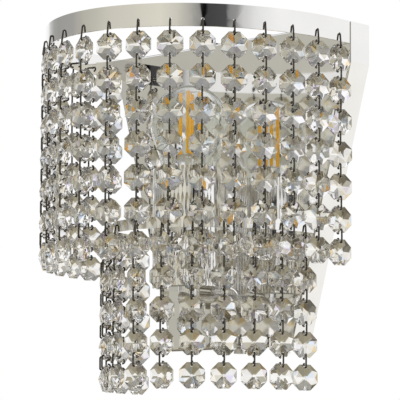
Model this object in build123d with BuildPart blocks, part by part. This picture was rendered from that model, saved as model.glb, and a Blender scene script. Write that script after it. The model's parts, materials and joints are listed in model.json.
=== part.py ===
from build123d import *
from math import acos, atan2, cos, degrees, hypot, pi, radians, sin, tan
import os

# Crystal wall sconce: a polished tray on the wall carries two bowed bands of hanging crystals
# round one clear bulb, which stands in a cup on a short arm.
# Millimetres. Origin on the wall, midway between the two wall fixings.
# +X to the right of someone facing the sconce, -Y out of the wall, +Z up.

# ---------------------------------------------------------------- driving dimensions
fixing_below_top = 88.2          # wall fixings below the tray's top edge
sheet = 1.0                      # polished steel sheet of tray and bands
fit_gap = 0.1                    # between parts that seat in each other
loose_gap = 0.3                  # between parts that move past each other
screw_hole_gap = 0.2             # round a screw's thread, on the radius
thread_gap = 0.05                # round a thread in its own nut or tapped hole

# Tray backplate
plate_width = 177.0
plate_foot_width = 91.8          # width of the bottom edge
plate_height = 176.4
plate_shoulder = 22.2            # upright part of each side, above the taper
plate_depth = 16.3
plate_bend = 1.2                 # outer bend radius round the front face

# Wall bracket behind the tray
bracket_width = 80.0
bracket_sheet = 1.5
bracket_ear_width = 60.0
bracket_ear_depth = 12.5
fixing_spacing = 60.0
fixing_slot_width = 5.5
fixing_slot_length = 10.0
cable_hole = 16.0                # hole in the bracket for the cable bush
cable_hole_drop = 22.0           # below the fixings
bush_flange = 20.0
bush_flange_thickness = 1.5
bush_bore = 9.0

# Screws
tray_screw_thread = 4.0
tray_screw_length = 6.0
tray_screw_head = 7.6
tray_screw_head_height = 2.4
tray_screw_spacing = 40.0        # the pair in the top flange
tray_screw_from_wall = 7.0
band_screw_thread = 3.0
band_screw_length = 6.0
band_screw_head = 5.6
band_screw_head_height = 1.9
band_nut_flats = 5.5
band_nut_thickness = 2.4
drive_slot_width = 0.9
drive_slot_depth = 0.9

# Bands
band_edge_inset = 0.2            # band set in from the tray's sides
upper_band_height = 12.3
upper_band_leg = 8.5             # straight start of each side, off the tray
upper_band_reach = 108.5         # from the legs' ends to the nose
lower_band_drop = 109.0          # top of the lower band below the tray's top edge
lower_band_height = 6.0
lower_band_leg = 4.0
lower_band_reach = 73.5
upper_tab_length = 16.0          # tabs bent inwards onto the tray
lower_tab_length = 12.0
band_bend = 0.9                  # outer bend radius at the tabs
upper_hook_drop = 8.5            # hook holes below the band's top edge
lower_hook_drop = 2.4
hook_hole = 1.7

# Crystal strands
upper_strand_count = 19
lower_strand_count = 13
upper_bead_count = 7
lower_bead_count = 5
upper_strand_spacing = 17.07     # along the band
lower_strand_spacing = 16.85
lower_strand_shift = 1.6         # the lower row hangs a little towards the right
bead_width = 14.0                # across the flats of the octagon
bead_thickness = 6.6             # through the middle
bead_girdle = 1.5                # height of the upright rim
bead_bevel_angle = 27.3          # of the rim facets, off the bead's plane
bead_hole = 1.5
bead_hole_radius = 5.3           # from the bead's middle to each hole
bead_pitch = 17.7
upper_hook_length = 7.8          # from the band's hole to the first bead's hole
lower_hook_length = 6.8
wire = 1.0
wire_stand_off = 0.2             # between a wire's straight leg and the bead behind it
wire_corner = 0.8                # bend radius at the straight leg's ends
wire_curl = 1.1                  # bend radius of the curled ends
wire_curl_start = 1.2            # from the bead's plane to the middle of a curl
wire_tail = 0.3                  # straight end of a curl
hook_curl_start = 2.6            # from the band to the middle of the hook's inner curl
twist_swing = 9.0                # degrees that a bead may be turned about its strand
twist_step = 63.0                # degrees of phase from bead to bead
twist_strand_step = 137.5        # degrees of phase from strand to strand
end_twist = 25.0                 # degrees that the strands nearest the wall are turned

# Arm, cup and lampholder
bulb_from_plate = 33.5           # bulb axis in front of the tray
arm_diameter = 10.0
arm_bore = 8.0
arm_past_axis = 2.5              # straight tube past the bulb axis, before the round end
arm_thread_inside = 5.0          # tube behind the tray's front sheet
arm_nut_flats = 14.0
arm_nut_thickness = 4.0
arm_collar_diameter = 17.0
arm_collar_thickness = 2.0
stub_diameter = 8.0
stub_bore = 6.0
stub_past_nut = 2.5              # stub above its nut, inside the lampholder
seat_diameter = 12.0
seat_rise = 0.4                  # flat seat above the crown of the tube
cup_diameter = 41.0
cup_wall = 0.8
cup_height = 66.9
cup_rim_drop = 77.8              # cup rim below the tray's top edge
cup_nut_flats = 13.0
cup_nut_thickness = 4.0
holder_diameter = 25.0
holder_height = 52.0
holder_base = 4.0
holder_chamber = 16.0
holder_chamber_height = 21.0
holder_roof = 4.5
shell_bore = 14.7
shell_wall = 0.4
shell_height = 18.0
contact_diameter = 5.0
contact_thickness = 0.6
contact_rivet = 2.0

# Bulb
globe_diameter = 44.6
globe_drop = 30.1                # top of the globe below the tray's top edge
globe_wall = 0.7
neck_diameter = 29.2             # where the neck turns in, just inside the cup's rim
neck_foot_diameter = 12.2
neck_in_cap = 3.0                # glass held inside the cap
bulb_length = 78.0
cap_crest = 14.0
cap_root = 13.2
cap_wall = 0.35
cap_height = 18.5
cap_pitch = 2.8
cap_ridges = 5
cap_ridge_start = 3.0            # lowest ridge above the cap's lower end
insulator_height = 3.0
insulator_foot = 6.4
tip_diameter = 4.8
tip_height = 1.0
stem_diameter = 4.4
stem_flare_thickness = 1.5
filament_count = 4
filament_diameter = 2.0
filament_length = 35.0
filament_circle = 11.0           # circle through the filaments
filament_drop = 34.0             # filament tops below the tray's top edge
filament_turn = 32.0             # degrees from +X to the first filament
support_wire = 0.6
lead_spacing = 2.2
lead_rise = 2.0                  # lead wires above the stem, up to their spokes

# Wiring behind the tray
block_width = 30.0
block_depth = 12.0
block_height = 17.0
block_above_fixing = 28.0
block_poles = 3
block_pole_spacing = 10.0
block_bore = 3.4
block_screw_thread = 2.8
block_screw_head = 3.6
block_screw_head_height = 1.2
block_screw_spacing = 9.0
block_screw_sink = 1.0           # screw heads below the block's face
block_peg = 3.0
lead_diameter = 2.2              # insulated wire
lead_in_block = 5.0
lead_bend = 4.0
lead_tight_bend = 3.0            # up into the stub
lead_pair_spacing = 3.0
lead_from_wall = 5.5             # the pair's drop to the arm
lead_lean_start = 24.5           # below the block
lead_lean_end = 59.5
earth_screw_x = 30.0
earth_screw_z = -14.0
lug_diameter = 9.0
lug_sheet = 0.8
lug_barrel = 3.2
lug_barrel_length = 5.0
earth_lead_fall = 21.5           # below the block, before it leans to the lug

# ---------------------------------------------------------------- places worked out from them
plate_top = fixing_below_top
plate_bottom = plate_top - plate_height
plate_face = -plate_depth
plate_inside = plate_face + sheet
bracket_face = -bracket_sheet
upper_band_bottom = plate_top - upper_band_height
lower_band_top = plate_top - lower_band_drop
lower_band_bottom = lower_band_top - lower_band_height
bulb_axis = plate_face - bulb_from_plate
cup_rim = plate_top - cup_rim_drop
cup_bottom = cup_rim - cup_height
cup_floor = cup_bottom + cup_wall
arm_height = cup_bottom - seat_rise - arm_diameter / 2
arm_back = plate_inside + arm_thread_inside
arm_end = bulb_axis - arm_past_axis
holder_bottom = cup_floor + cup_nut_thickness
holder_top = holder_bottom + holder_height
chamber_bottom = holder_bottom + holder_base
chamber_top = chamber_bottom + holder_chamber_height
socket_floor = chamber_top + holder_roof
globe_top = plate_top - globe_drop
globe_centre = globe_top - globe_diameter / 2
tip_bottom = globe_top - bulb_length
insulator_bottom = tip_bottom + tip_height
cap_bottom = insulator_bottom + insulator_height
cap_top = cap_bottom + cap_height
cap_ridge_radius = (cap_crest - cap_root) / 2 + cap_wall
glass_bottom = cap_top - neck_in_cap
filament_top = plate_top - filament_drop
filament_bottom = filament_top - filament_length
stem_top = filament_bottom - support_wire - lead_rise
block_bottom = block_above_fixing - block_height / 2
block_middle = bracket_face - block_depth / 2
block_face = bracket_face - block_depth
poles = [(number - (block_poles - 1) / 2) * block_pole_spacing for number in range(block_poles)]
hook_hole_cut = 4 * sheet        # long enough to pass through a band


def plate_half_width(drop):
    """Half width of the tray at a distance below its top edge."""
    taper = (plate_width - plate_foot_width) / 2 / (plate_height - plate_shoulder)
    return plate_width / 2 - taper * max(0, drop - plate_shoulder)


def level(height, y=0):
    """A plane that looks up, over the line through y."""
    return Plane((0, y, height))


def outward(x, y, z):
    """A plane on the tray or bracket that looks out of the wall."""
    return Plane((x, y, z), x_dir=(1, 0, 0), z_dir=(0, -1, 0))


def save(piece, name):
    piece.label = name
    export_step(piece, f"parts/{name}.step")


# ---------------------------------------------------------------- shared shapes
def pan_screw(plane, thread, length, head, head_height):
    """A slotted pan-head screw, its head's seat on the plane."""
    with BuildPart(plane) as screw:
        Cylinder(head / 2, head_height, align=(Align.CENTER, Align.CENTER, Align.MIN))
        Cylinder(thread / 2, length, align=(Align.CENTER, Align.CENTER, Align.MAX))
        with Locations((0, 0, head_height)):
            Box(head, drive_slot_width, 2 * drive_slot_depth, mode=Mode.SUBTRACT)
    return screw.part


def hex_nut(plane, flats, thickness, thread):
    """A hexagon nut standing on the plane."""
    with BuildPart(plane) as nut:
        with BuildSketch(plane):
            RegularPolygon(flats / 2, 6, major_radius=False)
            Circle(thread / 2 + thread_gap, mode=Mode.SUBTRACT)
        extrude(amount=thickness)
    return nut.part


def insulated_wire(points, bends):
    """An insulated wire along straight runs joined by arcs."""
    with BuildPart() as lead:
        with BuildLine() as route:
            FilletPolyline(*points, radius=bends)
        centre_line = route.wire()
        with BuildSketch(Plane(centre_line @ 0, z_dir=centre_line % 0)):
            Circle(lead_diameter / 2)
        sweep(path=centre_line)
    tube_volume = pi * lead_diameter**2 / 4 * centre_line.length
    ratio = lead.part.volume / tube_volume
    print(f"lead {centre_line.length:.1f} mm long, bend radii {bends}, volume ratio {ratio:.4f}")
    return lead.part


def band_path(half_width, leg, reach):
    """Plan of a band, left end to right: a leg, half an ellipse and a leg."""
    with BuildLine() as path:
        Line((-half_width, plate_face), (-half_width, plate_face - leg))
        EllipticalCenterArc((0, plate_face - leg), half_width, reach, 180, arc_size=180)
        Line((half_width, plate_face - leg), (half_width, plate_face))
    return path.wire()


def hook_frames(path, height, count, spacing, shift=0):
    """Frames at the hook holes: X along the band, Y inwards, Z up."""
    margin = (path.length - spacing * (count - 1)) / 2 + shift
    frames = []
    for number in range(count):
        distance = margin + spacing * number
        point = path.position_at(distance, PositionMode.LENGTH)
        along = path.tangent_at(distance, PositionMode.LENGTH)
        frames.append(Plane((point.X, point.Y, height), x_dir=along, z_dir=(0, 0, 1)))
    return frames


def make_band(half_width, leg, reach, bottom, height, tab_length, frames, tab_screws):
    """A bowed strip with a tab bent inwards at each end and a row of hook holes."""
    with BuildPart() as band:
        with BuildSketch(level(bottom)):
            with BuildLine():
                add(band_path(half_width, leg, reach))
                Line((half_width, plate_face), (-half_width, plate_face))
            make_face()
            with BuildLine():
                add(band_path(half_width - sheet, leg, reach - sheet))
                Line((half_width - sheet, plate_face), (sheet - half_width, plate_face))
            make_face(mode=Mode.SUBTRACT)
            for side in (-1, 1):
                with Locations((side * (half_width - tab_length / 2), plate_face - sheet / 2)):
                    Rectangle(tab_length, sheet)
        extrude(amount=height)
        corners = band.edges().filter_by(Axis.Z).group_by(Axis.Y)[-1].sort_by(Axis.X)
        fillet([corners[0], corners[-1]], band_bend)
        across = [Plane(frame.origin, x_dir=frame.x_dir, z_dir=frame.y_dir) for frame in frames]
        with Locations(*across):
            Cylinder(hook_hole / 2, hook_hole_cut, mode=Mode.SUBTRACT)
        with Locations(*[outward(x, plate_face, z) for x, z in tab_screws]):
            Cylinder(band_screw_thread / 2 + screw_hole_gap, 2 * band_screw_length, mode=Mode.SUBTRACT)
    return band.part


# ---------------------------------------------------------------- where bands, hooks and screws sit
upper_half_width = plate_half_width(0) - band_edge_inset
lower_half_width = plate_half_width(lower_band_drop + lower_band_height) - band_edge_inset
upper_path = band_path(upper_half_width - sheet / 2, upper_band_leg, upper_band_reach - sheet / 2)
lower_path = band_path(lower_half_width - sheet / 2, lower_band_leg, lower_band_reach - sheet / 2)
upper_hooks = plate_top - upper_hook_drop
lower_hooks = lower_band_top - lower_hook_drop
upper_frames = hook_frames(upper_path, upper_hooks, upper_strand_count, upper_strand_spacing)
lower_frames = hook_frames(
    lower_path,
    lower_hooks,
    lower_strand_count,
    lower_strand_spacing,
    lower_strand_shift,
)
upper_screw_x = upper_half_width - upper_tab_length / 2
lower_screw_x = lower_half_width - lower_tab_length / 2
upper_tab_screws = [(side * upper_screw_x, upper_band_bottom + upper_band_height / 2) for side in (-1, 1)]
lower_tab_screws = [(side * lower_screw_x, lower_band_bottom + lower_band_height / 2) for side in (-1, 1)]
band_screw_places = upper_tab_screws + lower_tab_screws
top_screw_places = [(side * tray_screw_spacing / 2, -tray_screw_from_wall, plate_top) for side in (-1, 1)]
bottom_screw_place = (0, -tray_screw_from_wall, plate_bottom)

os.makedirs("parts", exist_ok=True)

# ---------------------------------------------------------------- tray backplate
with BuildPart() as backplate_tray:
    with BuildSketch(Plane.XZ) as outline:
        with BuildLine():
            Polyline(
                (-plate_width / 2, plate_top),
                (plate_width / 2, plate_top),
                (plate_width / 2, plate_top - plate_shoulder),
                (plate_foot_width / 2, plate_bottom),
                (-plate_foot_width / 2, plate_bottom),
                (-plate_width / 2, plate_top - plate_shoulder),
                close=True,
            )
        make_face()
    extrude(amount=plate_depth)
    fillet(backplate_tray.faces().sort_by(Axis.Y)[0].edges(), plate_bend)
    with BuildSketch(Plane.XZ):
        add(outline.sketch)
        offset(amount=-sheet, kind=Kind.INTERSECTION, mode=Mode.REPLACE)
    extrude(amount=plate_depth - sheet, mode=Mode.SUBTRACT)
    with Locations(outward(0, plate_face, arm_height)):
        Cylinder(arm_diameter / 2 + fit_gap, 2 * arm_thread_inside, mode=Mode.SUBTRACT)
    with Locations(*[outward(x, plate_face, z) for x, z in band_screw_places]):
        Cylinder(band_screw_thread / 2 + screw_hole_gap, 2 * band_screw_length, mode=Mode.SUBTRACT)
    with Locations(*top_screw_places, bottom_screw_place):
        Cylinder(tray_screw_thread / 2 + screw_hole_gap, 2 * tray_screw_length, mode=Mode.SUBTRACT)
save(backplate_tray.part, "backplate_tray")

# ---------------------------------------------------------------- wall bracket
bracket_top = plate_top - sheet - fit_gap
bracket_bottom = plate_bottom + sheet + fit_gap
with BuildPart() as wall_bracket:
    with Locations((0, 0, (bracket_top + bracket_bottom) / 2)):
        Box(
            bracket_width,
            bracket_sheet,
            bracket_top - bracket_bottom,
            align=(Align.CENTER, Align.MAX, Align.CENTER),
        )
    with Locations((0, 0, bracket_top - bracket_sheet / 2), (0, 0, bracket_bottom + bracket_sheet / 2)):
        Box(
            bracket_ear_width,
            bracket_ear_depth,
            bracket_sheet,
            align=(Align.CENTER, Align.MAX, Align.CENTER),
        )
    with BuildSketch(Plane.XZ):
        with GridLocations(fixing_spacing, 0, 2, 1):
            SlotOverall(fixing_slot_length, fixing_slot_width)
        with Locations((0, -cable_hole_drop)):
            Circle(cable_hole / 2)
        with Locations((0, block_above_fixing)):
            Circle(block_peg / 2 + fit_gap)
        with Locations((earth_screw_x, earth_screw_z)):
            Circle(tray_screw_thread / 2 + thread_gap)
    extrude(amount=bracket_sheet, mode=Mode.SUBTRACT)
    with Locations(*top_screw_places, bottom_screw_place):
        Cylinder(tray_screw_thread / 2 + thread_gap, 2 * tray_screw_length, mode=Mode.SUBTRACT)
save(wall_bracket.part, "wall_bracket")


def tray_screw(seat, length=tray_screw_length):
    return pan_screw(seat, tray_screw_thread, length, tray_screw_head, tray_screw_head_height)


with BuildPart() as tray_screws:
    for x, y, z in top_screw_places:
        top_seat = Plane((x, y, z))
        add(tray_screw(top_seat))
    bottom_seat = Plane(bottom_screw_place, x_dir=(1, 0, 0), z_dir=(0, 0, -1))
    add(tray_screw(bottom_seat))
save(tray_screws.part, "tray_screws")

# ---------------------------------------------------------------- bands and their screws
upper_band = make_band(
    upper_half_width,
    upper_band_leg,
    upper_band_reach,
    upper_band_bottom,
    upper_band_height,
    upper_tab_length,
    upper_frames,
    upper_tab_screws,
)
save(upper_band, "upper_band")

lower_band = make_band(
    lower_half_width,
    lower_band_leg,
    lower_band_reach,
    lower_band_bottom,
    lower_band_height,
    lower_tab_length,
    lower_frames,
    lower_tab_screws,
)
save(lower_band, "lower_band")

with BuildPart() as band_screws:
    for x, z in band_screw_places:
        tab_face = outward(x, plate_face - sheet, z)
        add(
            pan_screw(
                tab_face,
                band_screw_thread,
                band_screw_length,
                band_screw_head,
                band_screw_head_height,
            )
        )
save(band_screws.part, "band_screws")

with BuildPart() as band_nuts:
    for x, z in band_screw_places:
        nut_seat = outward(x, plate_inside + band_nut_thickness, z)
        add(hex_nut(nut_seat, band_nut_flats, band_nut_thickness, band_screw_thread))
save(band_nuts.part, "band_nuts")

# ---------------------------------------------------------------- arm, its nut and collar
with BuildPart() as arm_tube:
    with BuildSketch(outward(0, arm_back, arm_height)):
        Circle(arm_diameter / 2)
    extrude(amount=arm_back - arm_end)
    with Locations((0, arm_end, arm_height)):
        Sphere(arm_diameter / 2)
    with BuildSketch(level(arm_height)):
        with Locations((0, bulb_axis)):
            Circle(seat_diameter / 2)
    extrude(amount=cup_bottom - arm_height)
    with BuildSketch(level(arm_height)):
        with Locations((0, bulb_axis)):
            Circle(stub_diameter / 2)
    extrude(amount=holder_bottom + stub_past_nut - arm_height)
    with BuildSketch(outward(0, arm_back, arm_height)):
        Circle(arm_bore / 2)
    extrude(amount=arm_back - arm_end, mode=Mode.SUBTRACT)
    with Locations((0, arm_end, arm_height)):
        Sphere(arm_bore / 2, mode=Mode.SUBTRACT)
    with BuildSketch(level(arm_height)):
        with Locations((0, bulb_axis)):
            Circle(stub_bore / 2)
    extrude(amount=holder_bottom + stub_past_nut - arm_height, mode=Mode.SUBTRACT)
save(arm_tube.part, "arm_tube")

arm_nut = hex_nut(
    outward(0, plate_inside + arm_nut_thickness, arm_height),
    arm_nut_flats,
    arm_nut_thickness,
    arm_diameter,
)
save(arm_nut, "arm_nut")

with BuildPart() as arm_collar:
    with BuildSketch(outward(0, plate_face, arm_height)):
        Circle(arm_collar_diameter / 2)
        Circle(arm_diameter / 2 + fit_gap, mode=Mode.SUBTRACT)
    extrude(amount=arm_collar_thickness)
    fillet(arm_collar.faces().sort_by(Axis.Y)[0].outer_wire().edges(), arm_collar_thickness / 2)
save(arm_collar.part, "arm_collar")

# ---------------------------------------------------------------- cup and its nut
with BuildPart() as lampholder_cup:
    with BuildSketch(level(cup_bottom)):
        with Locations((0, bulb_axis)):
            Circle(cup_diameter / 2)
    extrude(amount=cup_height)
    fillet(lampholder_cup.edges().sort_by(Axis.Z)[0], cup_wall)
    with BuildSketch(level(cup_floor)):
        with Locations((0, bulb_axis)):
            Circle(cup_diameter / 2 - cup_wall)
    extrude(amount=cup_height, mode=Mode.SUBTRACT)
    with BuildSketch(level(cup_bottom)):
        with Locations((0, bulb_axis)):
            Circle(stub_diameter / 2 + fit_gap)
    extrude(amount=cup_wall, mode=Mode.SUBTRACT)
save(lampholder_cup.part, "lampholder_cup")

cup_nut = hex_nut(level(cup_floor, bulb_axis), cup_nut_flats, cup_nut_thickness, stub_diameter)
save(cup_nut, "cup_nut")

# ---------------------------------------------------------------- lampholder
shell_outer = shell_bore + 2 * shell_wall
shell_bottom = holder_top - shell_height
with BuildPart() as lampholder_body:
    with BuildSketch(level(holder_bottom, bulb_axis)):
        Circle(holder_diameter / 2)
        Circle(stub_diameter / 2 + thread_gap, mode=Mode.SUBTRACT)
    extrude(amount=holder_height)
    with BuildSketch(level(chamber_bottom, bulb_axis)):
        Circle(holder_chamber / 2)
    extrude(amount=holder_chamber_height, mode=Mode.SUBTRACT)
    with BuildSketch(level(chamber_top, bulb_axis)):
        Circle(holder_diameter / 2 - cup_wall)
        Circle(contact_rivet / 2 + thread_gap, mode=Mode.SUBTRACT)
    extrude(amount=holder_roof)
    with BuildSketch(level(socket_floor, bulb_axis)):
        Circle(shell_outer / 2 + thread_gap)
    extrude(amount=holder_top - socket_floor, mode=Mode.SUBTRACT)
save(lampholder_body.part, "lampholder_body")

with BuildPart() as lampholder_shell:
    with BuildSketch(level(shell_bottom, bulb_axis)):
        Circle(shell_outer / 2)
        Circle(shell_bore / 2, mode=Mode.SUBTRACT)
    extrude(amount=shell_height)
save(lampholder_shell.part, "lampholder_shell")

contact_top = tip_bottom - loose_gap
with BuildPart() as lampholder_contact:
    with BuildSketch(level(contact_top - contact_thickness, bulb_axis)):
        Circle(contact_diameter / 2)
    extrude(amount=contact_thickness)
    with BuildSketch(level(chamber_top, bulb_axis)):
        Circle(contact_rivet / 2)
    extrude(amount=contact_top - contact_thickness - chamber_top)
save(lampholder_contact.part, "lampholder_contact")


# ---------------------------------------------------------------- bulb
def bulb_outline(inset):
    """Right half of the glass in section, drawn inwards by a wall thickness."""
    radius = globe_diameter / 2 - inset
    neck = (neck_diameter / 2 - inset, cup_rim)
    foot = (neck_foot_diameter / 2 - inset, cap_top)
    to_neck = hypot(neck[0], neck[1] - globe_centre)
    meet = degrees(atan2(neck[1] - globe_centre, neck[0]) + acos(radius / to_neck))
    with BuildLine() as line:
        globe = CenterArc((0, globe_centre), radius, meet, 90 - meet)
        Polyline(globe @ 0, neck, foot, (foot[0], glass_bottom), (0, glass_bottom), globe @ 1)
    return line.line


bulb_section = Plane((0, bulb_axis, 0), x_dir=(1, 0, 0), z_dir=(0, -1, 0))
bulb_centre_line = Axis((0, bulb_axis, 0), (0, 0, 1))
with BuildPart() as bulb_glass:
    with BuildSketch(bulb_section):
        with BuildLine():
            add(bulb_outline(0))
        make_face()
    revolve(axis=bulb_centre_line)
    with BuildSketch(bulb_section):
        with BuildLine():
            add(bulb_outline(globe_wall))
        make_face()
    revolve(axis=bulb_centre_line, mode=Mode.SUBTRACT)
save(bulb_glass.part, "bulb_glass")

with BuildPart() as cap_shell:
    with BuildSketch(level(cap_bottom, bulb_axis)):
        Circle(cap_root / 2)
    extrude(amount=cap_height)
    for number in range(cap_ridges):
        with Locations((0, bulb_axis, cap_bottom + cap_ridge_start + cap_pitch * number)):
            Torus(cap_crest / 2 - cap_ridge_radius, cap_ridge_radius)
    with BuildSketch(level(cap_bottom, bulb_axis)):
        Circle(cap_root / 2 - cap_wall)
    extrude(amount=cap_height, mode=Mode.SUBTRACT)

with BuildPart() as cap_tip:
    with BuildSketch(level(tip_bottom, bulb_axis)):
        Circle(tip_diameter / 2)
    extrude(amount=tip_height)
    fillet(cap_tip.edges().sort_by(Axis.Z)[0], tip_height / 2)

with BuildPart() as bulb_cap:
    add(cap_shell.part)
    add(cap_tip.part)
save(bulb_cap.part, "bulb_cap")

with BuildPart() as bulb_insulator:
    with Locations((0, bulb_axis, insulator_bottom)):
        Cone(
            insulator_foot / 2,
            cap_root / 2,
            insulator_height,
            align=(Align.CENTER, Align.CENTER, Align.MIN),
        )
save(bulb_insulator.part, "bulb_insulator")

with BuildPart() as bulb_stem:
    with BuildSketch(level(glass_bottom, bulb_axis)):
        Circle(neck_foot_diameter / 2 - globe_wall - fit_gap)
    extrude(amount=stem_flare_thickness)
    with BuildSketch(level(glass_bottom, bulb_axis)):
        Circle(stem_diameter / 2)
    extrude(amount=stem_top - glass_bottom)
save(bulb_stem.part, "bulb_stem")

filament_places = [
    (
        filament_circle / 2 * cos(radians(filament_turn + 360 / filament_count * number)),
        bulb_axis + filament_circle / 2 * sin(radians(filament_turn + 360 / filament_count * number)),
    )
    for number in range(filament_count)
]
with BuildPart() as bulb_filaments:
    with BuildSketch(level(filament_bottom)):
        with Locations(*filament_places):
            Circle(filament_diameter / 2)
    extrude(amount=filament_length)
save(bulb_filaments.part, "bulb_filaments")


def spokes(x, height, places):
    """Flat support wires from one lead to the ends of its filaments."""
    with BuildPart() as star:
        with BuildSketch(level(height, bulb_axis)):
            with Locations((x, 0)):
                Circle(support_wire)
            for place in places:
                run = Vector(place[0] - x, place[1] - bulb_axis)
                with Locations(Location((x, 0, 0), (0, 0, degrees(atan2(run.Y, run.X))))):
                    Rectangle(run.length, support_wire, align=(Align.MIN, Align.CENTER))
        extrude(amount=support_wire)
    return star.part


with BuildPart() as bulb_supports:
    for side in (-1, 1):
        lead_x = side * lead_spacing / 2
        with BuildSketch(level(stem_top, bulb_axis)):
            with Locations((lead_x, 0)):
                Circle(support_wire / 2)
        extrude(amount=lead_rise)
        own_filaments = [place for place in filament_places if place[0] * side > 0]
        add(spokes(lead_x, stem_top + lead_rise, own_filaments))
    add(spokes(0, filament_top, filament_places))
save(bulb_supports.part, "bulb_supports")

# ---------------------------------------------------------------- terminal block and its screws
block_screw_places = [
    outward(x, block_face + block_screw_sink + block_screw_head_height, block_above_fixing + z)
    for x in poles
    for z in (-block_screw_spacing / 2, block_screw_spacing / 2)
]
block_screw_length = (
    block_depth / 2 - lead_diameter / 2 - fit_gap - block_screw_sink - block_screw_head_height
)
with BuildPart() as terminal_block:
    with BuildSketch(outward(0, bracket_face, block_above_fixing)):
        Rectangle(block_width, block_height)
    extrude(amount=block_depth)
    fillet(terminal_block.faces().sort_by(Axis.Y)[0].edges(), block_screw_sink)
    with BuildSketch(outward(0, 0, block_above_fixing)):
        Circle(block_peg / 2)
    extrude(amount=bracket_sheet)
    with BuildSketch(level(block_bottom, block_middle)):
        with GridLocations(block_pole_spacing, 0, block_poles, 1):
            Circle(block_bore / 2)
    extrude(amount=block_height, mode=Mode.SUBTRACT)
    with Locations(*block_screw_places):
        Cylinder(
            block_screw_head / 2 + fit_gap,
            2 * (block_screw_sink + block_screw_head_height),
            mode=Mode.SUBTRACT,
        )
        Cylinder(block_screw_thread / 2 + thread_gap, 2 * block_screw_length, mode=Mode.SUBTRACT)
save(terminal_block.part, "terminal_block")

with BuildPart() as terminal_screws:
    for place in block_screw_places:
        add(
            pan_screw(
                place,
                block_screw_thread,
                block_screw_length,
                block_screw_head,
                block_screw_head_height,
            )
        )
save(terminal_screws.part, "terminal_screws")

# ---------------------------------------------------------------- cable bush, leads and earth
with BuildPart() as cable_bush:
    with BuildSketch(outward(0, 0, -cable_hole_drop)):
        Circle(cable_hole / 2 - fit_gap)
    extrude(amount=bracket_sheet)
    with BuildSketch(outward(0, bracket_face, -cable_hole_drop)):
        Circle(bush_flange / 2)
    extrude(amount=bush_flange_thickness)
    fillet(cable_bush.edges().sort_by(Axis.Y)[0], bush_flange_thickness / 2)
    with BuildSketch(outward(0, 0, -cable_hole_drop)):
        Circle(bush_bore / 2)
    extrude(amount=bracket_sheet + bush_flange_thickness, mode=Mode.SUBTRACT)
save(cable_bush.part, "cable_bush")

lead_start = block_bottom + lead_in_block
lead_end = chamber_top - loose_gap


def lamp_lead(pole, offset_x):
    """From a pole of the block down to the arm, along it and up into the lampholder."""
    points = [
        (pole, block_middle, lead_start),
        (pole, block_middle, block_bottom - lead_lean_start),
        (offset_x, -lead_from_wall, block_bottom - lead_lean_end),
        (offset_x, -lead_from_wall, arm_height),
        (offset_x, bulb_axis, arm_height),
        (offset_x, bulb_axis, lead_end),
    ]
    return insulated_wire(points, [2 * lead_bend, 2 * lead_bend, lead_bend, lead_tight_bend])


save(lamp_lead(poles[0], -lead_pair_spacing / 2), "live_wire")
save(lamp_lead(poles[1], lead_pair_spacing / 2), "neutral_wire")

lug_middle = bracket_face - lug_barrel / 2
lug_start = earth_screw_x - lug_diameter / 2 - lug_barrel_length
with BuildPart() as earth_wire:
    add(
        insulated_wire(
            [
                (poles[2], block_middle, lead_start),
                (poles[2], block_middle, block_bottom - earth_lead_fall),
                (lug_start - lug_barrel_length, lug_middle, earth_screw_z),
                (lug_start, lug_middle, earth_screw_z),
            ],
            [lead_bend, lead_bend],
        )
    )
    with Locations(Plane((lug_start, lug_middle, earth_screw_z), z_dir=(1, 0, 0))):
        Cylinder(lug_barrel / 2, lug_barrel_length, align=(Align.CENTER, Align.CENTER, Align.MIN))
    with BuildSketch(outward(earth_screw_x, bracket_face, earth_screw_z)):
        Circle(lug_diameter / 2)
        Rectangle(lug_diameter, lug_barrel, align=(Align.MAX, Align.CENTER))
        Circle(tray_screw_thread / 2 + screw_hole_gap, mode=Mode.SUBTRACT)
    extrude(amount=lug_sheet)
save(earth_wire.part, "earth_wire")

lug_face = outward(earth_screw_x, bracket_face - lug_sheet, earth_screw_z)
earth_screw = tray_screw(lug_face, bracket_sheet + lug_sheet)
save(earth_screw, "earth_screw")

# ---------------------------------------------------------------- crystal bead, link and hook
bead_facets = 8
bead_turn = 360 / bead_facets
bead_corner_radius = bead_width / 2 / cos(radians(bead_turn / 2))
bead_crown_angle = degrees(atan2(bead_thickness / 2 - bead_girdle / 2, bead_corner_radius))
bead_at_hole = bead_girdle / 2 + (bead_width / 2 - bead_hole_radius) * tan(radians(bead_bevel_angle))
leg_stand = bead_at_hole + wire / 2 + wire_stand_off


def facet(point, azimuth, side, tilt):
    """The plane of one facet of a bead that lies in XZ, facing away from the bead's middle."""
    lean = sin(radians(tilt))
    normal = (cos(radians(azimuth)) * lean, side * cos(radians(tilt)), sin(radians(azimuth)) * lean)
    return Plane(point, z_dir=normal)


with BuildPart() as bead:
    with BuildSketch(Plane.XZ):
        RegularPolygon(bead_width / 2, bead_facets, major_radius=False, rotation=bead_turn / 2)
    extrude(amount=bead_thickness / 2, both=True)
    for side in (-1, 1):
        for number in range(bead_facets):
            azimuth = bead_turn * number
            crown = facet((0, side * bead_thickness / 2, 0), azimuth + bead_turn / 2, side, bead_crown_angle)
            split(bisect_by=crown, keep=Keep.BOTTOM)
            rim = (
                bead_width / 2 * cos(radians(azimuth)),
                side * bead_girdle / 2,
                bead_width / 2 * sin(radians(azimuth)),
            )
            split(bisect_by=facet(rim, azimuth, side, bead_bevel_angle), keep=Keep.BOTTOM)
    with Locations(outward(0, 0, bead_hole_radius), outward(0, 0, -bead_hole_radius)):
        Cylinder(bead_hole / 2, bead_thickness, mode=Mode.SUBTRACT)


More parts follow.
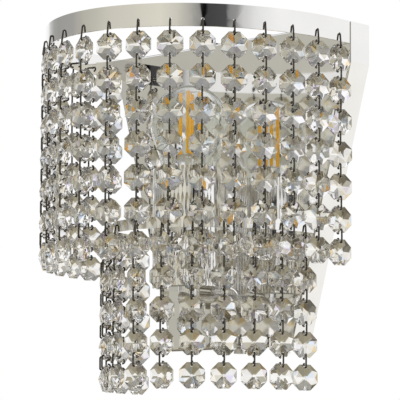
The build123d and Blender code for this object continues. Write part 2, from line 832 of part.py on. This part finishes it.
def pin(length, upper_curl_start, upper_stand):
    """A wire pin: a leg in front, both ends through their holes and curled behind.

    Drawn in YZ, its upper hole at the origin and its lower hole that length below.
    """
    upper = (upper_curl_start, -wire_curl)
    lower = (wire_curl_start, wire_curl - length)
    with BuildPart() as bent:
        with BuildLine(Plane.YZ) as route:
            Line((upper[0] - wire_tail, -2 * wire_curl), (upper[0], -2 * wire_curl))
            CenterArc(upper, wire_curl, -90, 180)
            FilletPolyline(
                (upper[0], 0),
                (-upper_stand, 0),
                (-leg_stand, -length),
                (lower[0], -length),
                radius=wire_corner,
            )
            CenterArc(lower, wire_curl, -90, 180)
            Line((lower[0], 2 * wire_curl - length), (lower[0] - wire_tail, 2 * wire_curl - length))
        centre_line = route.wire()
        with BuildSketch(Plane(centre_line @ 0, z_dir=centre_line % 0)):
            Circle(wire / 2)
        sweep(path=centre_line)
    return bent.part


hook_stand = sheet / 2 + loose_gap + wire / 2
link = pin(bead_pitch - 2 * bead_hole_radius, wire_curl_start, leg_stand)


def make_strand(frame, strand_number, turn, bead_count, hook, hook_length):
    """Beads hung on wire pins below one hook hole, each turned a little about the strand."""
    phase = twist_strand_step * strand_number
    twists = [turn + twist_swing * sin(radians(phase + twist_step * number)) for number in range(bead_count)]
    heights = [-hook_length - bead_hole_radius - bead_pitch * number for number in range(bead_count)]
    beads = [Location((0, 0, z), (0, 0, twist)) for z, twist in zip(heights, twists)]
    link_twists = [(above + below) / 2 for above, below in zip(twists, twists[1:])]
    links = [Location((0, 0, z - bead_hole_radius), (0, 0, twist)) for z, twist in zip(heights, link_twists)]
    with BuildPart(frame) as strand:
        with Locations(*beads):
            add(bead.part)
        with Locations(*links):
            add(link)
        with Locations(Location((0, 0, 0), (0, 0, (turn + twists[0]) / 2))):
            add(hook)
    return strand.part


rows = (
    ("upper", upper_frames, upper_bead_count, upper_hook_length),
    ("lower", lower_frames, lower_bead_count, lower_hook_length),
)
for row, frames, bead_count, hook_length in rows:
    hook = pin(hook_length, hook_curl_start, hook_stand)
    for number, frame in enumerate(frames, start=1):
        from_nose = abs(2 * (number - 1) / (len(frames) - 1) - 1)
        turn = -end_twist * from_nose**3
        strand = make_strand(frame, number, turn, bead_count, hook, hook_length)
        save(strand, f"{row}_strand_{number:02d}")
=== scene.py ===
import json
import math

import bpy
import numpy as np
from mathutils import Matrix, Vector

# Crystal wall sconce: looks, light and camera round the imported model. Metres.
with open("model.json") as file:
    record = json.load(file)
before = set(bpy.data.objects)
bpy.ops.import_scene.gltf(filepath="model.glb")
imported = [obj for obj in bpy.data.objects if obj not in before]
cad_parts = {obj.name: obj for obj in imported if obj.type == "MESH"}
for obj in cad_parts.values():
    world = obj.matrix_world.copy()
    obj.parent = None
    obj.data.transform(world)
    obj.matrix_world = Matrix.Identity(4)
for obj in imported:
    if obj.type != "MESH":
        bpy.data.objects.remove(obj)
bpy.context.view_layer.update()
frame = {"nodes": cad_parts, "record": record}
nodes = frame["nodes"]
scene = bpy.context.scene

# ---------------------------------------------------------------- node helpers
def new_material(name):
    material = bpy.data.materials.new(name)
    material.use_nodes = True
    tree = material.node_tree
    return material, tree, tree.nodes["Principled BSDF"]


def add_node(tree, kind, **values):
    """A node with some of its inputs or properties set by name."""
    node = tree.nodes.new(kind)
    for name, value in values.items():
        if hasattr(node, name):
            setattr(node, name, value)
        else:
            node.inputs[name.replace("_", " ").title()].default_value = value
    return node


def ramp(tree, factor, stops, interpolation="LINEAR"):
    """A colour ramp on a factor; stops are (place, (r, g, b))."""
    node = tree.nodes.new("ShaderNodeValToRGB")
    node.color_ramp.interpolation = interpolation
    elements = node.color_ramp.elements
    while len(elements) > 1:
        elements.remove(elements[-1])
    elements[0].position, elements[0].color = stops[0][0], (*stops[0][1], 1)
    for place, colour in stops[1:]:
        elements.new(place).color = (*colour, 1)
    tree.links.new(factor, node.inputs["Fac"])
    return node.outputs["Color"]


def position(tree):
    return tree.nodes.new("ShaderNodeTexCoord").outputs["Object"]


def noise(tree, scale, detail=3.0, stretch=None):
    """Noise in the object's own space; stretch squeezes it along each axis."""
    node = add_node(tree, "ShaderNodeTexNoise", scale=scale, detail=detail)
    vector = position(tree)
    if stretch:
        mapping = tree.nodes.new("ShaderNodeMapping")
        mapping.inputs["Scale"].default_value = stretch
        tree.links.new(vector, mapping.inputs["Vector"])
        vector = mapping.outputs["Vector"]
    tree.links.new(vector, node.inputs["Vector"])
    return node.outputs["Fac"]


def map_range(tree, value, low, high, source=(0.3, 0.7)):
    node = add_node(tree, "ShaderNodeMapRange")
    node.inputs["From Min"].default_value, node.inputs["From Max"].default_value = source
    node.inputs["To Min"].default_value, node.inputs["To Max"].default_value = low, high
    tree.links.new(value, node.inputs["Value"])
    return node.outputs["Result"]


def add_bump(tree, shader, height, strength, distance):
    bump = add_node(tree, "ShaderNodeBump", strength=strength, distance=distance)
    tree.links.new(height, bump.inputs["Height"])
    tree.links.new(bump.outputs["Normal"], shader.inputs["Normal"])


def surface(name, colours, metallic, roughness, scale=300.0, stretch=None, bump=(0.1, 0.00003),
            bump_scale=None):
    """An opaque material: mottled colour, uneven roughness and a fine bump."""
    material, tree, shader = new_material(name)
    grain = noise(tree, scale, 4.0, stretch)
    colour = ramp(tree, grain, [(0.3, colours[0]), (0.7, colours[1])])
    tree.links.new(colour, shader.inputs["Base Color"])
    shader.inputs["Metallic"].default_value = metallic
    tree.links.new(map_range(tree, grain, *roughness), shader.inputs["Roughness"])
    fine = noise(tree, bump_scale or scale * 5, 2.0, stretch)
    add_bump(tree, shader, fine, *bump)
    return material, tree, shader


# ---------------------------------------------------------------- materials
def make_crystal():
    """Cut crystal: each facet gets a faint painted tint, and a few get painted spectral glints
    that stand in for dispersion.
    """
    material, tree, shader = new_material("cut_crystal")
    shader.inputs["Transmission Weight"].default_value = 1.0
    shader.inputs["IOR"].default_value = 1.56
    geometry = tree.nodes.new("ShaderNodeNewGeometry")
    strand = tree.nodes.new("ShaderNodeObjectInfo").outputs["Random"]
    total = add_node(tree, "ShaderNodeMath", operation="ADD")
    tree.links.new(geometry.outputs["Random Per Island"], total.inputs[0])
    tree.links.new(strand, total.inputs[1])
    facet = add_node(tree, "ShaderNodeMath", operation="FRACT")
    tree.links.new(total.outputs[0], facet.inputs[0])
    # painted glints: per-facet colours that stand in for dispersion flashes, and darker painted
    # facets that stand in for reflected surroundings, not a colour of the clear crystal itself
    painted_glint_tint = ramp(tree, facet.outputs[0], [
        (0.0, (1.0, 1.0, 1.0)),
        (0.36, (0.97, 0.95, 0.90)),
        (0.50, (0.84, 0.82, 0.76)),
        (0.60, (1.0, 0.98, 0.93)),
        (0.76, (0.88, 0.89, 0.97)),
        (0.82, (0.97, 0.90, 0.76)),
        (0.87, (0.58, 0.54, 0.43)),
        (0.92, (0.66, 0.80, 0.99)),
        (0.945, (0.78, 0.70, 0.95)),
        (0.965, (0.96, 0.66, 0.30)),
        (0.985, (1.0, 1.0, 1.0)),
    ], "CONSTANT")
    tree.links.new(painted_glint_tint, shader.inputs["Base Color"])
    polish = noise(tree, 900.0, 2.0)
    tree.links.new(map_range(tree, polish, 0.0, 0.03), shader.inputs["Roughness"])
    add_bump(tree, shader, noise(tree, 160.0, 2.0), 0.05, 0.00004)
    return material


def make_glass():
    """Thin blown glass with faint waviness."""
    material, tree, shader = new_material("blown_glass")
    shader.inputs["Transmission Weight"].default_value = 1.0
    shader.inputs["IOR"].default_value = 1.47
    wave = noise(tree, 45.0, 1.0)
    tree.links.new(ramp(tree, wave, [(0.3, (0.99, 1.0, 1.0)), (0.7, (0.96, 0.98, 0.97))]),
                   shader.inputs["Base Color"])
    tree.links.new(map_range(tree, wave, 0.0, 0.012), shader.inputs["Roughness"])
    add_bump(tree, shader, wave, 0.06, 0.0001)
    return material


def make_chrome():
    """Mirror polish with faint haze and hairline wipe marks."""
    return surface(
        "mirror_chrome",
        ((0.86, 0.855, 0.84), (0.90, 0.895, 0.885)),
        1.0,
        (0.02, 0.055),
        scale=60.0,
        bump=(0.02, 0.00001),
        bump_scale=2500.0,
    )[0]


def make_filament():
    """Amber coating, a little brighter than its surroundings light it."""
    material, _, shader = surface(
        "phosphor_filament", ((0.80, 0.40, 0.015), (0.93, 0.54, 0.03)), 0.0, (0.35, 0.55),
        scale=900.0, bump=(0.3, 0.00005))
    shader.inputs["Emission Color"].default_value = (0.90, 0.44, 0.01, 1)
    shader.inputs["Emission Strength"].default_value = 0.4
    return material


looks = {
    "crystal": make_crystal(),
    "clear_glass": make_glass(),
    "polished_chrome": make_chrome(),
    "amber_filament": make_filament(),
    "zinc_steel": surface("zinc_plate", ((0.50, 0.52, 0.54), (0.66, 0.67, 0.68)), 1.0,
                          (0.28, 0.46), scale=220.0)[0],
    "plated_fastener": surface("plated_steel", ((0.62, 0.61, 0.59), (0.76, 0.75, 0.73)), 1.0,
                               (0.16, 0.30), scale=500.0)[0],
    "nickel": surface("nickel_plate", ((0.60, 0.59, 0.56), (0.74, 0.73, 0.70)), 1.0, (0.14, 0.28),
                      scale=400.0)[0],
    "brass": surface("bright_brass", ((0.72, 0.54, 0.22), (0.84, 0.68, 0.34)), 1.0, (0.18, 0.32),
                     scale=400.0)[0],
    "white_holder": surface("white_moulding", ((0.80, 0.79, 0.75), (0.86, 0.85, 0.82)), 0.0,
                            (0.38, 0.52), scale=120.0)[0],
    "white_block": surface("pale_moulding", ((0.84, 0.84, 0.81), (0.90, 0.90, 0.88)), 0.0,
                           (0.34, 0.5), scale=120.0)[0],
    "black_glass": surface("black_vitrite", ((0.012, 0.012, 0.014), (0.03, 0.03, 0.035)), 0.0,
                           (0.06, 0.16), scale=250.0)[0],
    "black_rubber": surface("bush_rubber", ((0.018, 0.018, 0.018), (0.045, 0.045, 0.045)), 0.0,
                            (0.6, 0.8), scale=500.0)[0],
    "brown_lead": surface("brown_insulation", ((0.16, 0.07, 0.03), (0.23, 0.11, 0.05)), 0.0,
                          (0.35, 0.5), scale=300.0)[0],
    "blue_lead": surface("blue_insulation", ((0.03, 0.11, 0.40), (0.06, 0.18, 0.52)), 0.0,
                         (0.35, 0.5), scale=300.0)[0],
}
pin_steel = surface("pin_steel", ((0.07, 0.064, 0.055), (0.17, 0.158, 0.138)), 1.0, (0.22, 0.38),
                    scale=700.0)[0]


def make_earth_insulation():
    """Green insulation with a yellow stripe along the run."""
    material, tree, shader = new_material("earth_insulation")
    wave = add_node(tree, "ShaderNodeTexWave", scale=120.0, distortion=1.5)
    tree.links.new(position(tree), wave.inputs["Vector"])
    colour = ramp(tree, wave.outputs["Fac"], [
        (0.0, (0.05, 0.26, 0.05)),
        (0.55, (0.72, 0.60, 0.04)),
    ], "CONSTANT")
    tree.links.new(colour, shader.inputs["Base Color"])
    shader.inputs["Roughness"].default_value = 0.42
    add_bump(tree, shader, noise(tree, 1500.0, 2.0), 0.1, 0.00003)
    return material


looks["green_lead"] = make_earth_insulation()


# ---------------------------------------------------------------- dressing the CAD nodes
def loose_faces(mesh):
    """For each vertex, a number that is the same over its smooth patch of the mesh."""
    edges = np.empty(len(mesh.edges) * 2, int)
    mesh.edges.foreach_get("vertices", edges)
    edges = edges.reshape(-1, 2)
    labels = np.arange(len(mesh.vertices))
    while True:
        spread = labels.copy()
        np.minimum.at(spread, edges[:, 0], labels[edges[:, 1]])
        np.minimum.at(spread, edges[:, 1], labels[edges[:, 0]])
        spread = spread[spread]
        if (spread == labels).all():
            return labels
        labels = spread


CRYSTAL_SLOT, PIN_SLOT = 0, 1
FLAT = 1e-6                      # metres that a flat patch strays from its plane, at most
SMALLEST_FACET = 1e-6            # square metres: a pin's cut end is smaller
HOLE_SPREAD = 0.00045            # a bead's hole is wider than any pin


def dress_strand(node):
    """Crystal on the beads and steel on the pins of one strand."""
    mesh = node.data
    mesh.materials.clear()
    mesh.materials.append(looks["crystal"])
    mesh.materials.append(pin_steel)
    points = np.empty(len(mesh.vertices) * 3)
    mesh.vertices.foreach_get("co", points)
    points = points.reshape(-1, 3)
    labels = loose_faces(mesh)
    first = np.array([polygon.vertices[0] for polygon in mesh.polygons])
    owner = labels[first]
    areas = np.empty(len(mesh.polygons))
    mesh.polygons.foreach_get("area", areas)
    slots = np.zeros(len(mesh.polygons), int)
    for label in np.unique(owner):
        patch = points[labels == label]
        spread = np.linalg.svd(patch - patch.mean(0), compute_uv=False) / math.sqrt(len(patch))
        of_patch = owner == label
        flat = spread[2] < FLAT
        is_bead = areas[of_patch].sum() > SMALLEST_FACET if flat else spread[2] > HOLE_SPREAD
        slots[of_patch] = CRYSTAL_SLOT if is_bead else PIN_SLOT
    mesh.polygons.foreach_set("material_index", slots)


slot_of = {part["node"]: part["material_slot"] for part in frame["record"]["subparts"]}
for name, node in nodes.items():
    if slot_of[name] == "crystal":
        dress_strand(node)
    else:
        node.data.materials.clear()
        node.data.materials.append(looks[slot_of[name]])

# ---------------------------------------------------------------- surroundings
BACKGROUND = (1.0, 1.0, 1.0)
DARK, LIT = (0, 0, 0), (1, 1, 1)


def make_world():
    """A studio: bright behind, dimmer round the camera, a black stand and two bright screens."""
    world = bpy.data.worlds.new("studio")
    world.use_nodes = True
    scene.world = world
    tree = world.node_tree
    tree.nodes.clear()
    direction = tree.nodes.new("ShaderNodeTexCoord").outputs["Generated"]
    split = tree.nodes.new("ShaderNodeSeparateXYZ")
    tree.links.new(direction, split.inputs[0])
    back = add_node(tree, "ShaderNodeMath", operation="MULTIPLY")
    back.inputs[1].default_value = -1.0
    tree.links.new(split.outputs["Y"], back.inputs[0])
    angle = add_node(tree, "ShaderNodeMath", operation="ARCTAN2")
    tree.links.new(split.outputs["X"], angle.inputs[0])
    tree.links.new(back.outputs[0], angle.inputs[1])
    turn = map_range(tree, angle.outputs[0], 0.0, 1.0, (-math.pi, math.pi))

    def at(degrees):
        return (degrees + 180) / 360

    white = (0.98, 0.98, 0.98)
    ring = ramp(tree, turn, [
        (0.0, white),
        (at(-112), white),
        (at(-105), (0.62, 0.62, 0.62)),
        (at(-95), (0.40, 0.40, 0.39)),
        (at(-85), (0.36, 0.36, 0.35)),
        (at(-60), (0.40, 0.39, 0.37)),
        (at(-48), (0.50, 0.49, 0.43)),
        (at(-15), (0.66, 0.64, 0.56)),
        (at(25), (0.76, 0.735, 0.64)),
        (at(38), (0.66, 0.64, 0.56)),
        (at(48), (0.44, 0.43, 0.40)),
        (at(52.5), (0.30, 0.295, 0.28)),
        (at(53.5), (0.006, 0.006, 0.007)),
        (at(56.5), (0.006, 0.006, 0.007)),
        (at(57.5), (0.060, 0.060, 0.062)),
        (at(69), (0.080, 0.080, 0.082)),
        (at(71), (0.28, 0.28, 0.28)),
        (at(77), (0.34, 0.34, 0.34)),
        (at(80), (0.66, 0.66, 0.66)),
        (at(88), (0.86, 0.86, 0.86)),
        (at(100), white),
        (1.0, white),
    ])
    height = map_range(tree, split.outputs["Z"], 0.0, 1.0, (-1.0, 1.0))
    # from straight down, past the level ring, to straight up
    cover = ramp(tree, height, [
        (0.0, (0.30, 0.29, 0.26)),
        (0.10, (0.10, 0.095, 0.08)),
        (0.25, (0.20, 0.175, 0.125)),
        (0.36, (0.36, 0.33, 0.24)),
        (0.43, (0.46, 0.435, 0.34)),
        (0.67, (0.44, 0.43, 0.38)),
        (0.74, (0.30, 0.30, 0.29)),
        (0.85, (0.22, 0.22, 0.22)),
        (0.90, (1.2, 1.2, 1.2)),
        (1.0, (1.2, 1.2, 1.2)),
    ])
    share = ramp(tree, height, [
        (0.0, LIT),
        (0.40, LIT),
        (0.45, DARK),
        (0.64, DARK),
        (0.70, LIT),
        (1.0, LIT),
    ])
    mix = tree.nodes.new("ShaderNodeMixRGB")
    tree.links.new(share, mix.inputs["Fac"])
    tree.links.new(ring, mix.inputs["Color1"])
    tree.links.new(cover, mix.inputs["Color2"])
    surround = mix.outputs["Color"]

    def window(azimuths, elevations, colour, edge=0.012):
        """A bright screen between two azimuths and two elevations, in degrees."""
        nonlocal surround
        reach = []
        low, high = (at(azimuth) for azimuth in azimuths)
        base, top = (0.5 + math.sin(math.radians(angle)) / 2 for angle in elevations)
        for factor, start, end in ((turn, low, high), (height, base, top)):
            stops = [(0.0, DARK), (start - edge, DARK), (start, LIT), (min(end, 1.0), LIT)]
            if end + edge < 1.0:
                stops.append((end + edge, DARK))
            reach.append(ramp(tree, factor, stops))
        both = add_node(tree, "ShaderNodeMath", operation="MULTIPLY")
        tree.links.new(reach[0], both.inputs[0])
        tree.links.new(reach[1], both.inputs[1])
        screen = tree.nodes.new("ShaderNodeMixRGB")
        tree.links.new(both.outputs[0], screen.inputs["Fac"])
        tree.links.new(surround, screen.inputs["Color1"])
        screen.inputs["Color2"].default_value = (*colour, 1)
        surround = screen.outputs["Color"]

    window((-78, -52), (17, 46), (1.15, 1.15, 1.2))
    window((98, 180), (-27, -4), (0.97, 0.96, 0.93))
    studio = add_node(tree, "ShaderNodeBackground", strength=1.0)
    tree.links.new(surround, studio.inputs["Color"])
    plain = tree.nodes.new("ShaderNodeBackground")
    plain.inputs["Color"].default_value = (*BACKGROUND, 1)
    choose = tree.nodes.new("ShaderNodeMixShader")
    path = tree.nodes.new("ShaderNodeLightPath")
    tree.links.new(path.outputs["Is Camera Ray"], choose.inputs["Fac"])
    tree.links.new(studio.outputs[0], choose.inputs[1])
    tree.links.new(plain.outputs[0], choose.inputs[2])
    output = tree.nodes.new("ShaderNodeOutputWorld")
    tree.links.new(choose.outputs[0], output.inputs["Surface"])


make_world()

FLOOR_HEIGHT = -0.45
FLOOR_SIZE = 3.0


def make_floor():
    mesh = bpy.data.meshes.new("floor")
    half = FLOOR_SIZE / 2
    corners = [(-half, -half), (half, -half), (half, half), (-half, half)]
    mesh.from_pydata([(x, y, FLOOR_HEIGHT) for x, y in corners], [], [(0, 1, 2, 3)])
    floor = bpy.data.objects.new("floor", mesh)
    scene.collection.objects.link(floor)
    material, _, _ = surface("pale_floor", ((0.80, 0.80, 0.79), (0.84, 0.84, 0.83)), 0.0,
                             (0.6, 0.8), scale=4.0, bump_scale=200.0)
    mesh.materials.append(material)
    floor.visible_glossy = False
    floor.visible_transmission = False


make_floor()


def soft_light(name, place, target, size, power):
    """A rectangular lamp that lights the object and isn't seen or mirrored itself."""
    light = bpy.data.lights.new(name, "AREA")
    light.shape = "RECTANGLE"
    light.size, light.size_y = size
    light.energy = power
    lamp = bpy.data.objects.new(name, light)
    lamp.location = place
    lamp.rotation_euler = (Vector(target) - Vector(place)).to_track_quat("-Z", "Y").to_euler()
    lamp.visible_camera = False
    lamp.visible_transmission = False
    lamp.visible_glossy = False
    scene.collection.objects.link(lamp)


soft_light("key_left", (-1.1, -1.3, 0.9), (0, -0.06, 0), (0.7, 0.9), 16.0)
soft_light("key_right", (1.5, -0.35, 0.5), (0, -0.06, 0), (0.5, 1.0), 14.0)

# ---------------------------------------------------------------- camera
LENS_PIXELS = 2198.9             # focal length in pixels of a frame 400 wide
FRAME_PIXELS = 400
SENSOR_WIDTH = 36.0
CAMERA_PLACE = (0.83441, -0.93789, -0.15453)
CAMERA_YAW = math.radians(42.943)
CAMERA_PITCH = math.radians(6.924)
CAMERA_ROLL = math.radians(0.283)


def make_camera():
    """The photograph's own view, from a fit to the tray and the band."""
    lens = bpy.data.cameras.new("camera")
    camera = bpy.data.objects.new("camera", lens)
    lens.sensor_width = SENSOR_WIDTH
    lens.lens = SENSOR_WIDTH * LENS_PIXELS / FRAME_PIXELS
    forward = Vector((
        -math.sin(CAMERA_YAW) * math.cos(CAMERA_PITCH),
        math.cos(CAMERA_YAW) * math.cos(CAMERA_PITCH),
        math.sin(CAMERA_PITCH),
    ))
    level = Vector((math.cos(CAMERA_YAW), math.sin(CAMERA_YAW), 0))
    upright = level.cross(forward)
    right = math.cos(CAMERA_ROLL) * level + math.sin(CAMERA_ROLL) * upright
    up = math.cos(CAMERA_ROLL) * upright - math.sin(CAMERA_ROLL) * level
    turn = Matrix((right, up, -forward)).transposed().to_4x4()
    camera.matrix_world = Matrix.Translation(CAMERA_PLACE) @ turn
    lens.clip_start, lens.clip_end = 0.01, 20.0
    scene.collection.objects.link(camera)
    scene.camera = camera


make_camera()
scene.view_settings.view_transform = "Standard"
scene.cycles.max_bounces = 24
scene.cycles.transmission_bounces = 24
scene.cycles.glossy_bounces = 12
scene.cycles.transparent_max_bounces = 12
